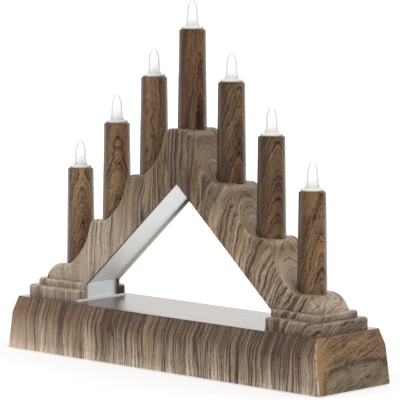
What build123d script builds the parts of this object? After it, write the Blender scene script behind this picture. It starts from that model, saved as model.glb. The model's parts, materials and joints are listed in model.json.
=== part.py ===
"""Seven-light candle arch on a long base, battery lit, in millimetres.

+Z is up, X runs along the base and Y from front to back. The origin lies on the table,
under the middle of the base. The arch stands on the base on two stepped feet and carries
seven candles on rising shelves. A pale liner closes its inner side, and the base holds the cells.
"""
import math
import os

from build123d import *

# Candles and shelves
steps_per_side = 3
end_candle_inset = 24.1
arch_slope = 43.025
lobe_lift = 9.3
candle_length = 56.6
candle_foot_diameter = 16.6
candle_top_diameter = 15.1
candle_shoulder = 1.6
candle_bore = 11.6
candle_top_wall = 1.6
candle_side_fit = 0.15
spigot_fit = 0.1
spigot_height = 5.0
spigot_bore = 8.0
seat_sink = 1.15
socket_wall = 1.6
socket_floor = 1.8

# Arch outline: each step is a round corner, a long hollow sweep, a short blend and a flat seat
arch_depth = 26.6
arch_wall = 1.4
arch_edge_round = 2.6
seat_reach = 5.0
corner_radius = 6.0
blend_radius = 7.0
steep_angle = 78.0
blend_angle = 32.0
lobe_reach = 3.5
lobe_radius = 13.5
upright_angle = 90.0
crown_depth = 30.5

# Stepped feet of the arch
foot_end_ledge = 2.2
foot_length = 41.6
foot_side_step = 4.75
foot_height = 6.7
foot_round = 1.9
foot_corner = 4.0
cap_end_step = 3.5
cap_side_step = 2.75
cap_height = 3.8
cap_round = 1.6
cap_corner = 3.5
tip_overhang = 1.5

# Liner that closes the inner side of the arch
liner_recess = 1.5
liner_thickness = 1.5
liner_fit = 0.2
plate_thickness = 1.2

# Base
table_gap = 0.8
base_length = 243.0
base_width = 59.0
base_top_z = 31.1
base_break_z = 21.8
base_wall = 2.0
end_draft = 3.0
side_draft = 0.3
end_shoulder = 2.2
side_shoulder = 3.3
base_corner = 1.6
break_round = 9.0
base_rim_round = 0.8
cover_thickness = 2.0
cover_fit = 0.3

# Screws: pan heads on plain shanks, in blind pilot holes
screw_head_diameter = 5.4
screw_head_height = 2.0
screw_shank = 2.3
screw_fit = 0.05
screw_hole_play = 0.9
screw_tip_gap = 1.0
post_diameter = 6.4
arch_screw_inset = 18.1
arch_screw_y = 7.6
arch_screw_length = 10.0
cover_screw_inset_x = 12.0
cover_screw_inset_y = 10.9
cover_screw_length = 9.0
head_cover = 0.4
boss_wall = 1.6
recess_width = 0.8
recess_length = 3.0
recess_depth = 1.1
small_head_diameter = 3.4
small_head_height = 1.2
small_shank = 1.5
small_screw_length = 4.5
small_post_diameter = 4.4
small_recess_length = 2.0
small_recess_width = 0.5
small_recess_depth = 0.7

# Rubber feet
pad_diameter = 10.0
pad_recess = 0.8
pad_fit = 0.15
pad_inset_x = 26.0
pad_inset_y = 10.9

# Cells and their box
box_side_room = 6.0
cell_diameter = 14.5
cell_body_length = 49.2
cell_nub_diameter = 5.5
cell_nub_length = 1.3
cell_edge_round = 0.8
cell_gap = 0.8
cell_lift = 0.5
cell_headroom = 0.5
box_wall = 1.6
box_offset_share = 0.16
contact_thickness = 0.5
contact_width = 11.0
contact_height = 11.0
spring_length = 5.0
spring_wire = 0.7
spring_wide_radius = 4.6
spring_narrow_radius = 2.7
spring_turns = 3.5
spring_seat_gap = 0.04

# Battery door with its hinge barrel, stop ribs and finger grooves
door_thickness = 1.6
door_side_fit = 0.4
door_end_fit = 0.5
hinge_radius = 2.4
hinge_gap = 0.35
hinge_pin_diameter = 2.0
hinge_pin_length = 2.2
hinge_pin_fit = 0.06
hinge_side_fit = 0.3
ear_thickness = 2.6
ear_wall = 1.8
stop_thickness = 1.2
stop_width = 6.0
stop_setback = 0.6
finger_notch_length = 4.0
finger_notch_width = 16.0
finger_notch_depth = 1.0
door_rib_width = 1.0
door_rib_length = 20.0
door_rib_pitch = 2.4
door_rib_count = 4
door_rib_depth = 0.4
door_rib_inset = 6.0

# Slide switch
switch_offset_share = 0.075
switch_travel = 4.0
switch_length = 14.0
switch_width = 7.0
switch_height = 5.6
switch_ear_length = 23.0
switch_ear_thickness = 1.2
switch_ear_lift = 2.2
switch_screw_spacing = 18.0
knob_length = 4.6
knob_width = 3.8
knob_drop = 0.4
knob_fit = 0.25
stem_length = 3.0
stem_width = 2.8
stem_reach = 2.4
grip_rib = 0.35

# Driver board
board_offset_share = 0.22
board_length = 30.0
board_width = 20.0
board_thickness = 1.6
board_lift = 5.2
board_screw_inset = 3.0
chip_length = 5.0
chip_width = 4.0
chip_height = 1.6
can_diameter = 5.0
can_height = 7.0
resistor_length = 3.2
resistor_width = 1.6
resistor_height = 0.6
resistor_pitch = 3.2

# Wiring
wire_diameter = 2.4
wire_bend = 6.0
wire_apex_bend = 3.0
wire_clear = 2.2
wire_tail = 2.0
foot_bend_inset = 9.5
feed_inset = 15.0
feed_run_z = 18.0
feed_board_inset = 8.0
feed_hole = 5.0
thin_wire_diameter = 1.4
thin_wire_bend = 3.0
thin_wire_z = 14.0
battery_wire_y = 3.2
lead_diameter = 2.0

# Lights: light-emitting diode, collar and clear flame cap
led_diameter = 3.0
led_height = 5.3
led_flange_diameter = 3.8
led_flange_height = 1.0
led_leg_diameter = 0.5
led_leg_spacing = 2.54
led_leg_length = 10.0
led_fit = 0.1
led_step_sink = 1.0
collar_foot_diameter = 12.0
collar_rim_diameter = 14.5
collar_rim_height = 1.5
collar_rim_round = 0.3
collar_hub_diameter = 8.6
collar_hub_height = 0.7
collar_plug_diameter = 8.8
collar_plug_length = 8.0
collar_plug_fit = 0.1
collar_bore = 4.4
cap_foot_diameter = 7.2
cap_shoulder_diameter = 6.4
cap_shoulder_height = 8.4
cap_dome_pull = 3.6
cap_tip_pull = 0.9
cap_total_height = 15.4
cap_wall = 0.6
cap_seat_sink = 1.2
cap_fit = 0.1

# How far a cutting shape runs past the face that it opens
overrun = 1.0

# Worked-out heights and places
foot_outer_x = base_length / 2 - end_draft - end_shoulder - foot_end_ledge
cap_outer_x = foot_outer_x - cap_end_step
cap_depth = arch_depth + 2 * cap_side_step
foot_depth = cap_depth + 2 * foot_side_step
foot_top_z = base_top_z + foot_height
cap_top_z = foot_top_z + cap_height
candle_pitch = (foot_outer_x - end_candle_inset) / steps_per_side
shelf_rise = candle_pitch * math.tan(math.radians(arch_slope))
lowest_shelf_z = cap_top_z + lobe_lift
shelf_zs = [lowest_shelf_z + shelf_rise * n for n in range(steps_per_side + 1)]
top_shelf_z = shelf_zs[-1]
foot_inner_x = foot_outer_x - foot_length
window_half_width = foot_inner_x - tip_overhang
window_apex_z = top_shelf_z - crown_depth
window_tilt = math.atan2(window_apex_z - cap_top_z, window_half_width)
arch_screw_x = foot_outer_x - arch_screw_inset
cover_screw_x = base_length / 2 - cover_screw_inset_x
cover_screw_y = base_width / 2 - cover_screw_inset_y
pad_x = base_length / 2 - pad_inset_x
pad_y = base_width / 2 - pad_inset_y
box_centre_x = -base_length * box_offset_share
switch_x = base_length * switch_offset_share
board_x = base_length * board_offset_share
board_screw_x = board_length / 2 - board_screw_inset
board_screw_y = board_width / 2 - board_screw_inset
foot_bend_x = window_half_width + foot_bend_inset
feed_x = window_half_width + feed_inset
feed_board_x = board_x + board_length / 2 - feed_board_inset
ceiling_z = base_top_z - base_wall
cover_top_z = table_gap + cover_thickness
head_sink = screw_head_height + head_cover
head_bore = screw_head_diameter + screw_hole_play
boss_top_z = table_gap + head_sink + boss_wall
plate_top_z = base_top_z + plate_thickness
inner_half_depth = arch_depth / 2 - arch_wall
pilot = screw_shank + 2 * screw_fit
small_pilot = small_shank + 2 * screw_fit
screw_hole = screw_shank + screw_hole_play
small_hole = small_shank + screw_hole_play / 2
cell_pitch = cell_diameter + cell_gap
cell_count = int((base_width - 2 * box_side_room) / cell_pitch)
box_inner_length = 2 * contact_thickness + spring_length + cell_body_length + cell_nub_length
box_inner_width = cell_count * cell_pitch
box_x0 = box_centre_x - box_inner_length / 2
box_x1 = box_centre_x + box_inner_length / 2
door_top_z = table_gap + door_thickness
cell_axis_z = door_top_z + cell_lift + cell_diameter / 2
box_roof_z = cell_axis_z + cell_diameter / 2 + cell_headroom
hinge_x = box_x0 - box_wall - hinge_gap - hinge_radius
hinge_z = table_gap + hinge_radius
door_half_width = box_inner_width / 2 - door_side_fit
switch_top_z = cover_top_z + switch_height
board_z = cover_top_z + board_lift
board_top_z = board_z + board_thickness


def light_places():
    """Number, X and shelf height of each candle, from left to right."""
    places = []
    for n in range(-steps_per_side, steps_per_side + 1):
        places.append((n + steps_per_side + 1, n * candle_pitch, shelf_zs[steps_per_side - abs(n)]))
    return places


def block(x0, x1, y0, y1, z0, z1):
    """A box between two corners."""
    centre = Pos((x0 + x1) / 2, (y0 + y1) / 2, (z0 + z1) / 2)
    return centre * Box(x1 - x0, y1 - y0, z1 - z0)


def rod(diameter, x, y, z0, z1):
    """An upright cylinder."""
    return Pos(x, y, (z0 + z1) / 2) * Cylinder(diameter / 2, z1 - z0)


def rod_x(diameter, y, z, x0, x1):
    """A cylinder lying along X."""
    return Pos((x0 + x1) / 2, y, z) * Rot(0, 90, 0) * Cylinder(diameter / 2, x1 - x0)


def rod_y(diameter, x, z, y0, y1):
    """A cylinder lying along Y."""
    return Pos(x, (y0 + y1) / 2, z) * Rot(90, 0, 0) * Cylinder(diameter / 2, y1 - y0)


def tube(points, diameter, bends):
    """A round wire along straight runs joined by tangent arcs."""
    path = FilletPolyline(*points, radius=bends)
    section = Plane(path @ 0, z_dir=path % 0) * Circle(diameter / 2)
    return sweep(section, path=path)


def both_sides(solid):
    """A solid with its mirror image across the middle of the base."""
    return [solid, mirror(solid, about=Plane.YZ)]


class Pen:
    """Draws lines and tangent arcs in the XZ plane. The heading is in degrees below +X."""

    def __init__(self, x, z):
        self.x = x
        self.z = z
        self.heading = 0.0
        self.edges = []

    def run(self, length):
        turn = math.radians(self.heading)
        x = self.x + length * math.cos(turn)
        z = self.z - length * math.sin(turn)
        self.edges.append(Line((self.x, 0, self.z), (x, 0, z)))
        self.x, self.z = x, z

    def bend(self, radius, heading):
        """An arc to a new heading: a steeper one rounds a corner, a flatter one a hollow."""
        side = 1 if heading > self.heading else -1
        start = math.radians(self.heading)
        end = math.radians(heading)
        centre_x = self.x - side * radius * math.sin(start)
        centre_z = self.z - side * radius * math.cos(start)

        def at(angle):
            x = centre_x + side * radius * math.sin(angle)
            return x, centre_z + side * radius * math.cos(angle)

        (middle_x, middle_z), (x, z) = at((start + end) / 2), at(end)
        self.edges.append(ThreePointArc((self.x, 0, self.z), (middle_x, 0, middle_z), (x, 0, z)))
        self.x, self.z, self.heading = x, z, heading


def arch_outline(inset):
    """The arch seen from the front with its window filled in, drawn in by the inset."""
    steep = math.radians(steep_angle)
    blend = math.radians(blend_angle)
    height_left = shelf_rise - corner_radius * (1 - math.cos(steep)) - blend_radius * (1 - math.cos(blend))
    sweep_radius = height_left / (math.cos(blend) - math.cos(steep))
    seat_run = candle_pitch - corner_radius * math.sin(steep) - blend_radius * math.sin(blend)
    seat_run -= sweep_radius * (math.sin(steep) - math.sin(blend))
    pen = Pen(0, top_shelf_z - inset)
    pen.run(seat_reach)
    for n in range(steps_per_side):
        pen.bend(corner_radius - inset, steep_angle)
        pen.bend(sweep_radius + inset, blend_angle)
        pen.bend(blend_radius + inset, 0.0)
        last = n == steps_per_side - 1
        pen.run(seat_run - seat_reach + lobe_reach if last else seat_run)
    pen.bend(lobe_radius - inset, upright_angle)
    pen.run(pen.z - base_top_z)
    half = Curve() + pen.edges
    sill = Line((-pen.x, 0, base_top_z), (pen.x, 0, base_top_z))
    return make_face([*half.edges(), *mirror(half, about=Plane.YZ).edges(), sill])


def window_corners(offset):
    """Right half of the window's edge, moved outwards: apex, knee and sill."""
    apex = window_apex_z + offset / math.cos(window_tilt)
    knee_x = foot_inner_x + offset
    return [(0, apex), (knee_x, apex - knee_x * math.tan(window_tilt)), (knee_x, base_top_z)]


def prism(corners, half_depth):
    """A polygon in the XZ plane, carried the same way to the front and the back."""
    face = make_face(Polyline(*[(x, 0, z) for x, z in corners], close=True))
    return extrude(face, half_depth, dir=(0, 1, 0), both=True)


def upright_block(x0, x1, depth, z0, z1, corner):
    """A block across the depth with rounded upright edges."""
    solid = block(x0, x1, -depth / 2, depth / 2, z0, z1)
    return fillet(solid.edges().filter_by(Axis.Z), corner)


def foot_step(outer_x, depth, z0, height, corner, rounding):
    """One step of the right foot, with round corners and a rounded upper rim."""
    step = upright_block(foot_inner_x, outer_x, depth, z0, z0 + height, corner)
    return fillet(step.edges().group_by(Axis.Z)[-1], rounding)


def candle_socket(x, shelf_z, outside):
    """The cup under a candle, kept inside the arch, and the two cuts that shape it."""
    seat_z = shelf_z - seat_sink
    hole = candle_foot_diameter + 2 * candle_side_fit
    head_z = shelf_z + candle_foot_diameter
    cup = rod(hole + 2 * socket_wall, x, 0, seat_z - socket_floor, head_z) & outside
    pocket = rod(hole, x, 0, seat_z, head_z)
    spigot = rod(candle_bore - 2 * spigot_fit, x, 0, seat_z, seat_z + spigot_height)
    return cup, pocket - spigot, rod(spigot_bore, x, 0, seat_z - socket_floor - overrun, head_z)


def make_arch_shell():
    """Hollow wood-print moulding: scalloped top, two walls and stepped feet, open on its inner side."""
    outside = extrude(arch_outline(0.0), arch_depth / 2, dir=(0, 1, 0), both=True)
    rims = [e for e in outside.edges() if abs(e.center().Y) > inner_half_depth and e.center().Z > base_top_z]
    outside = fillet(rims, arch_edge_round)
    feet = []
    for step in (foot_step(foot_outer_x, foot_depth, base_top_z, foot_height, foot_corner, foot_round),
                 foot_step(cap_outer_x, cap_depth, foot_top_z, cap_height, cap_corner, cap_round)):
        feet += both_sides(step)
    right = window_corners(0.0)
    window = prism(right + [(-x, z) for x, z in reversed(right[1:])], arch_depth)
    hollow = extrude(arch_outline(arch_wall), inner_half_depth, dir=(0, 1, 0), both=True)
    shell = outside - window + feet - hollow
    inner_x = foot_inner_x + arch_wall
    foot_y = foot_depth / 2 - arch_wall
    hollows = [upright_block(inner_x, foot_outer_x - arch_wall, foot_depth - 2 * arch_wall, base_top_z,
                             foot_top_z - arch_wall, foot_corner - arch_wall),
               upright_block(inner_x, cap_outer_x - arch_wall, cap_depth - 2 * arch_wall, base_top_z,
                             cap_top_z - arch_wall, cap_corner - arch_wall),
               block(foot_inner_x, foot_inner_x + foot_corner, -foot_y, foot_y, base_top_z,
                     plate_top_z + liner_fit)]
    for cut in hollows:
        shell -= both_sides(cut)
    for _, x, shelf_z in light_places():
        cup, pocket, hole = candle_socket(x, shelf_z, outside)
        shell = shell + cup - pocket - hole
    tip_z = ceiling_z + arch_screw_length + screw_tip_gap
    for x in (-arch_screw_x, arch_screw_x):
        for y in (-arch_screw_y, arch_screw_y):
            post = rod(post_diameter, x, y, plate_top_z, lowest_shelf_z) & outside
            candle_x = math.copysign(candle_pitch * steps_per_side, x)
            post -= candle_socket(candle_x, lowest_shelf_z, outside)[1]
            shell = shell + post - rod(pilot, x, y, plate_top_z, tip_z)
    return shell


def make_arch_liner():
    """Pale folded strip that closes the inner side of the arch, with the plates under its feet."""
    near = window_corners(liner_recess)
    far = window_corners(liner_recess + liner_thickness)
    half_depth = inner_half_depth - liner_fit
    half = prism(near + far[::-1], half_depth)
    plate_y = foot_depth / 2 - arch_wall - liner_fit
    plate_x = foot_outer_x - arch_wall - liner_fit
    plate = block(foot_inner_x, plate_x, -plate_y, plate_y, base_top_z, plate_top_z)
    outer_edges = plate.edges().filter_by(Axis.Z).group_by(Axis.X)[-1]
    plate = fillet(outer_edges, foot_corner - arch_wall - liner_fit)
    for y in (-arch_screw_y, arch_screw_y):
        plate -= rod(screw_hole, arch_screw_x, y, base_top_z - overrun, plate_top_z + overrun)
    plate -= rod(feed_hole, feed_x, 0, base_top_z - overrun, plate_top_z + overrun)
    right = half + plate
    return right + mirror(right, about=Plane.YZ)


def make_candle(x, shelf_z):
    """Tapered tube with a rounded shoulder, slipped over the spigot on its shelf."""
    foot_z = shelf_z - seat_sink
    body = Cone(candle_foot_diameter / 2, candle_top_diameter / 2, candle_length)
    body = fillet(body.edges().group_by(Axis.Z)[-1], candle_shoulder)
    body = Pos(x, 0, foot_z + candle_length / 2) * body
    top_z = foot_z + candle_length
    bore = rod(candle_bore, x, 0, foot_z, top_z - candle_top_wall)
    return body - bore - rod(collar_plug_diameter + 2 * collar_plug_fit, x, 0, foot_z, top_z)


def make_collar(x, rim_z):
    """Milky plastic plug: a flared rim on the candle, a hub for the cap and a stepped bore."""
    rim = Cone(collar_foot_diameter / 2, collar_rim_diameter / 2, collar_rim_height)
    rim = fillet(rim.edges().group_by(Axis.Z)[-1], collar_rim_round)
    collar = Pos(x, 0, rim_z + collar_rim_height / 2) * rim
    hub_z = rim_z + collar_rim_height + collar_hub_height
    collar += rod(collar_hub_diameter, x, 0, rim_z, hub_z)
    collar += rod(collar_plug_diameter, x, 0, rim_z - collar_plug_length, rim_z)
    collar -= rod(collar_bore, x, 0, rim_z - collar_plug_length, rim_z - led_step_sink)
    collar -= rod(led_diameter + 2 * led_fit, x, 0, rim_z - collar_plug_length, hub_z)
    return collar - rod(cap_foot_diameter + 2 * cap_fit, x, 0, hub_z - cap_seat_sink, hub_z)


def flame_side(inset):
    """One side of the flame cap, drawn in by an inset: a near-straight wall and a pointed dome."""
    foot = cap_foot_diameter / 2 - inset
    shoulder = cap_shoulder_diameter / 2 - inset
    tip = cap_total_height - inset
    wall = Line((foot, 0, 0), (shoulder, 0, cap_shoulder_height))
    lean = (foot - shoulder) * cap_dome_pull / cap_shoulder_height
    upper = (shoulder - lean, 0, cap_shoulder_height + cap_dome_pull)
    dome = Bezier(wall @ 1, upper, (cap_tip_pull, 0, tip), (0, 0, tip))
    return [wall, dome]


def make_flame_cap(x, rim_z):
    """Clear hollow bullet over the light, open below."""
    outer = flame_side(0.0)
    inner = flame_side(cap_wall)
    rim = Line(outer[0] @ 0, inner[0] @ 0)
    tip = Line(outer[-1] @ 1, inner[-1] @ 1)
    seat_z = rim_z + collar_rim_height + collar_hub_height - cap_seat_sink
    return Pos(x, 0, seat_z) * revolve(make_face([*outer, *inner, rim, tip]), Axis.Z)


def make_led(x, rim_z):
    """Domed diode on its flange, with two legs down into the candle."""
    step_z = rim_z - led_step_sink
    dome = led_diameter / 2
    led = rod(led_diameter, x, 0, step_z, step_z + led_height - dome)
    led += Pos(x, 0, step_z + led_height - dome) * Sphere(dome)
    led += rod(led_flange_diameter, x, 0, step_z - led_flange_height, step_z)
    for side in (-1, 1):
        leg_x = x + side * led_leg_spacing / 2
        foot_z = step_z - led_flange_height - led_leg_length
        led += rod(led_leg_diameter, leg_x, 0, foot_z, step_z - led_flange_height)
    return led


def wire_line():
    """Knee points of the wire that follows the liner, from the left foot to the right."""
    offset = liner_recess + liner_thickness + wire_clear
    apex_z = window_corners(offset)[0][1]
    bend_z = apex_z - foot_bend_x * math.tan(window_tilt)
    end_x = steps_per_side * candle_pitch + wire_tail
    right = [(foot_bend_x, 0, bend_z), (end_x, 0, bend_z)]
    left = [(-x, y, z) for x, y, z in reversed(right)]
    return left + [(0, 0, apex_z)] + right


def make_bus_wire():
    """Insulated wire along the inside of the arch, over the apex from foot to foot."""
    return tube(wire_line(), wire_diameter, [wire_bend, wire_apex_bend, wire_bend])


def wire_height(x):
    """Height of that wire's middle above a candle's place."""
    apex_z = wire_line()[2][2]
    if x == 0:
        return apex_z - wire_apex_bend * (1 / math.cos(window_tilt) - 1)
    return max(apex_z - abs(x) * math.tan(window_tilt), wire_line()[0][2])


def make_lead(x, rim_z, bus):
    """Lead from a diode's legs straight down its candle to the wire in the arch."""
    top_z = rim_z - led_step_sink - led_flange_height - led_leg_length
    return rod(lead_diameter, x, 0, wire_height(x), top_z) - bus


def base_side(half, draft, shoulder, inset, top_z, crease):
    """Outline of the base seen along one axis: upright sides that lean in to a narrower top."""
    low = half - inset
    corners = [(low, table_gap), (low - draft, base_break_z), (low - draft - shoulder, top_z)]
    outline = corners + [(-across, z) for across, z in reversed(corners)]
    face = make_face(Polyline(*[(across, 0, z) for across, z in outline], close=True))
    return fillet(face.vertices().group_by(Axis.Z)[1], crease)


def base_body(inset, top_z, crease):
    """The base's form drawn in by an inset, where its long and its short outline cross."""
    long_side = base_side(base_length / 2, end_draft, end_shoulder, inset, top_z, crease)
    short_side = base_side(base_width / 2, side_draft, side_shoulder, inset, top_z, crease)
    along = extrude(Rot(0, 0, 90) * short_side, base_length / 2, dir=(1, 0, 0), both=True)
    return extrude(long_side, base_width / 2, dir=(0, 1, 0), both=True) & along


def screw_places(x, y):
    """The four places of a screw or pad, mirrored both ways."""
    return [(sx * x, sy * y) for sx in (-1, 1) for sy in (-1, 1)]


def make_base_shell():
    """Wood-print housing: long box open below, with posts for its cover and holes for the arch."""
    outer = base_body(0.0, base_top_z, break_round)
    middle_x = base_length / 2 - end_draft - 2 * end_shoulder
    middle_y = base_width / 2 - side_draft - 2 * side_shoulder
    corners = [e for e in outer.edges() if abs(e.center().X) > middle_x and abs(e.center().Y) > middle_y]
    outer = fillet(corners, base_corner)
    outer = fillet(outer.faces().sort_by(Axis.Z)[-1].edges(), base_rim_round)
    shell = outer - base_body(base_wall, ceiling_z, break_round - base_wall)
    for x, y in screw_places(cover_screw_x, cover_screw_y):
        shell += rod(post_diameter, x, y, boss_top_z, ceiling_z)
        tip_z = table_gap + head_sink + cover_screw_length + screw_tip_gap
        shell -= rod(pilot, x, y, cover_top_z, tip_z)
    for x, y in screw_places(arch_screw_x, arch_screw_y):
        shell -= rod(screw_hole, x, y, ceiling_z - overrun, base_top_z + overrun)
    return shell - rod(feed_hole, feed_x, 0, ceiling_z - overrun, base_top_z + overrun)


def make_base_cover():
    """Bottom plate with the cell box, the door's bearings, the switch slot and the board's posts."""
    lean = end_draft * cover_thickness / (base_break_z - table_gap)
    plate_x = base_length / 2 - base_wall - lean - cover_fit
    plate_y = base_width / 2 - base_wall - cover_fit
    cover = block(-plate_x, plate_x, -plate_y, plate_y, table_gap, cover_top_z)
    corners = cover.edges().filter_by(Axis.Z)
    cover = fillet(corners, base_corner)
    box_y = box_inner_width / 2 + box_wall
    cover += block(box_x0 - box_wall, box_x1 + box_wall, -box_y, box_y, table_gap, box_roof_z + box_wall)
    inner_y = box_inner_width / 2
    cover -= block(box_x0, box_x1, -inner_y, inner_y, table_gap, box_roof_z)
    barrel_end = hinge_x - hinge_radius - hinge_gap
    cover -= block(barrel_end, box_x0, -inner_y, inner_y, table_gap, door_top_z + cell_lift)
    cover -= block(barrel_end, box_x0 - box_wall, -inner_y, inner_y, table_gap, cover_top_z)
    for side in (-1, 1):
        ear_z = hinge_z + hinge_radius + ear_wall
        bore = hinge_pin_diameter + 2 * hinge_pin_fit
        ear = block(barrel_end, box_x0, inner_y, inner_y + ear_thickness, table_gap, ear_z)
        ear -= rod_y(bore, hinge_x, hinge_z, inner_y - overrun, inner_y + hinge_pin_length)
        notch = block(barrel_end, box_x0, inner_y, inner_y + ear_thickness, table_gap, cover_top_z)
        if side < 0:
            ear = mirror(ear, about=Plane.XZ)
            notch = mirror(notch, about=Plane.XZ)
        cover = cover - notch + ear
    notch_y = finger_notch_width / 2
    notch_z = table_gap + finger_notch_depth
    cover -= block(box_x1, box_x1 + finger_notch_length, -notch_y, notch_y, table_gap, notch_z)
    for x, y in screw_places(cover_screw_x, cover_screw_y):
        cover += rod(head_bore + 2 * boss_wall, x, y, table_gap, boss_top_z)
        cover -= rod(screw_hole, x, y, table_gap, boss_top_z)
        cover -= rod(head_bore, x, y, table_gap, table_gap + head_sink)
    for x, y in screw_places(pad_x, pad_y):
        cover -= rod(pad_diameter + 2 * pad_fit, x, y, table_gap, table_gap + pad_recess)
    slot_x = (knob_length + switch_travel) / 2 + knob_fit
    slot_y = knob_width / 2 + knob_fit
    cover -= block(switch_x - slot_x, switch_x + slot_x, -slot_y, slot_y, table_gap, cover_top_z)
    for side in (-1, 1):
        x = switch_x + side * switch_screw_spacing / 2
        cover += rod(small_post_diameter, x, 0, cover_top_z, cover_top_z + switch_ear_lift)
        tip_z = cover_top_z + switch_ear_lift + switch_ear_thickness - small_screw_length
        cover -= rod(small_pilot, x, 0, tip_z - screw_fit, cover_top_z + switch_ear_lift)
    for x, y in screw_places(board_screw_x, board_screw_y):
        cover += rod(small_post_diameter, board_x + x, y, cover_top_z, board_z)
        cover -= rod(small_pilot, board_x + x, y, board_top_z - small_screw_length - screw_fit, board_z)
    return cover


def make_battery_door():
    """Flush lid under the cells: hinge barrel with two pins, two stop ribs and finger grooves."""
    end_x = box_x1 - door_end_fit
    barrel_y = box_inner_width / 2 - hinge_side_fit
    door = block(hinge_x, end_x, -door_half_width, door_half_width, table_gap, door_top_z)
    door += rod_y(2 * hinge_radius, hinge_x, hinge_z, -barrel_y, barrel_y)
    pin_y = box_inner_width / 2 + hinge_pin_length - hinge_side_fit
    door += rod_y(hinge_pin_diameter, hinge_x, hinge_z, -pin_y, pin_y)
    stop_x = end_x - stop_setback
    stop_z = door_top_z + cell_lift
    for y in (-cell_pitch / 2, cell_pitch / 2):
        low_y, high_y = y - stop_width / 2, y + stop_width / 2
        door += block(stop_x - stop_thickness, stop_x, low_y, high_y, door_top_z, stop_z)
    rib_y = door_rib_length / 2
    for n in range(door_rib_count):
        x = end_x - door_rib_inset - n * door_rib_pitch
        door -= block(x - door_rib_width, x, -rib_y, rib_y, table_gap, table_gap + door_rib_depth)
    return door


def cell_place(n):
    """Y of a cell, and which way its nub points."""
    return (n - (cell_count - 1) / 2) * cell_pitch, 1 if n % 2 == 0 else -1


def make_cell(n):
    """One AA cell: a can with rounded ends and the nub on its positive end."""
    y, way = cell_place(n)
    nub_end = box_x1 - contact_thickness if way > 0 else box_x0 + contact_thickness
    can_end = nub_end - way * cell_nub_length
    far_end = can_end - way * cell_body_length
    can = rod_x(cell_diameter, y, cell_axis_z, min(can_end, far_end), max(can_end, far_end))
    can = fillet(can.edges().filter_by(GeomType.CIRCLE), cell_edge_round)
    return can + rod_x(cell_nub_diameter, y, cell_axis_z, min(can_end, nub_end), max(can_end, nub_end))


def spring_points(n):
    """Middle of the spring's wire, a point each quarter turn, from its plate to its cell."""
    y, way = cell_place(n)
    plate = box_x0 + contact_thickness if way > 0 else box_x1 - contact_thickness
    rest = spring_wire / 2 + spring_seat_gap
    quarters = round(spring_turns * 4)
    points = []
    for q in range(quarters + 1):
        share = q / quarters
        radius = spring_wide_radius + (spring_narrow_radius - spring_wide_radius) * share
        along = plate + way * (rest + (spring_length - 2 * rest) * share)
        turn = q * math.pi / 2
        points.append(Vector(along, y + radius * math.cos(turn), cell_axis_z + radius * math.sin(turn)))
    return points


def spring_gap(points):
    """Least gap between one turn of a spring and the next."""
    gaps = [(points[q] - points[q + 4]).length - spring_wire for q in range(len(points) - 4)]
    return min(gaps)


def make_spring(n):
    """Conical contact spring, one unbroken wire on quarter-turn arcs."""
    points = spring_points(n)
    print(f"contact spring {n + 1}: least gap between turns {spring_gap(points):.2f} mm")
    climb = (points[1] - points[0]).X
    tangent = Vector(climb, 0, spring_wide_radius * math.pi / 2)
    arcs = []
    for start, end in zip(points, points[1:]):
        arc = TangentArc(start, end, tangent=tangent)
        tangent = arc % 1
        arcs.append(arc)
    path = Curve() + arcs
    section = Plane(points[0], z_dir=arcs[0] % 0) * Circle(spring_wire / 2)
    return sweep(section, path=path)


def make_contact_plates():
    """Plates at both ends of the box: some join neighbouring cells and two feed the wires."""
    half_z = contact_height / 2
    plates = []
    ends = {1: (box_x1 - contact_thickness, box_x1), -1: (box_x0, box_x0 + contact_thickness)}
    last = cell_count - 1
    spans = [(n, n + 1, cell_place(n)[1]) for n in range(last)]
    spans += [(0, 0, -cell_place(0)[1]), (last, last, cell_place(last)[1])]
    for first, second, way in spans:
        x0, x1 = ends[way]
        low = cell_place(first)[0] - contact_width / 2
        high = cell_place(second)[0] + contact_width / 2
        plates.append(block(x0, x1, low, high, cell_axis_z - half_z, cell_axis_z + half_z))
    return plates


def make_switch_body():
    """Slide switch housing on two ears, hollow below for the knob's stem."""
    half_y = switch_width / 2
    half_x = switch_length / 2
    ear_x = switch_ear_length / 2
    ear_z = cover_top_z + switch_ear_lift
    body = block(switch_x - half_x, switch_x + half_x, -half_y, half_y, cover_top_z, switch_top_z)
    body += block(switch_x - ear_x, switch_x + ear_x, -half_y, half_y, ear_z, ear_z + switch_ear_thickness)
    hollow_x = (stem_length + switch_travel) / 2 + knob_fit
    hollow_y = stem_width / 2 + knob_fit
    body -= block(switch_x - hollow_x, switch_x + hollow_x, -hollow_y, hollow_y,
                  cover_top_z, cover_top_z + stem_reach + knob_fit)
    for side in (-1, 1):
        x = switch_x + side * switch_screw_spacing / 2
        body -= rod(small_post_diameter + 2 * knob_fit, x, 0, cover_top_z, ear_z)
        body -= rod(small_hole, x, 0, ear_z, ear_z + switch_ear_thickness)
    return body


def make_switch_knob():
    """Ribbed slider at the off end of its slot, with the stem that drives the switch."""
    x = switch_x - switch_travel / 2
    low_z = table_gap - knob_drop
    half_x, half_y = knob_length / 2, knob_width / 2
    knob = block(x - half_x, x + half_x, -half_y, half_y, low_z, cover_top_z - knob_fit)
    stem_z = cover_top_z + stem_reach
    knob += block(x - stem_length / 2, x + stem_length / 2, -stem_width / 2, stem_width / 2, low_z, stem_z)
    for n in (-1, 0, 1):
        rib_x = x + n * knob_length / 4
        knob -= block(rib_x - grip_rib, rib_x + grip_rib, -half_y, half_y, low_z, low_z + grip_rib)
    return knob


def make_driver_board():
    """Small circuit board with four screw holes."""
    half_x, half_y = board_length / 2, board_width / 2
    board = block(board_x - half_x, board_x + half_x, -half_y, half_y, board_z, board_top_z)
    for x, y in screw_places(board_screw_x, board_screw_y):
        board -= rod(small_hole, board_x + x, y, board_z, board_top_z)
    return board


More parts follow.
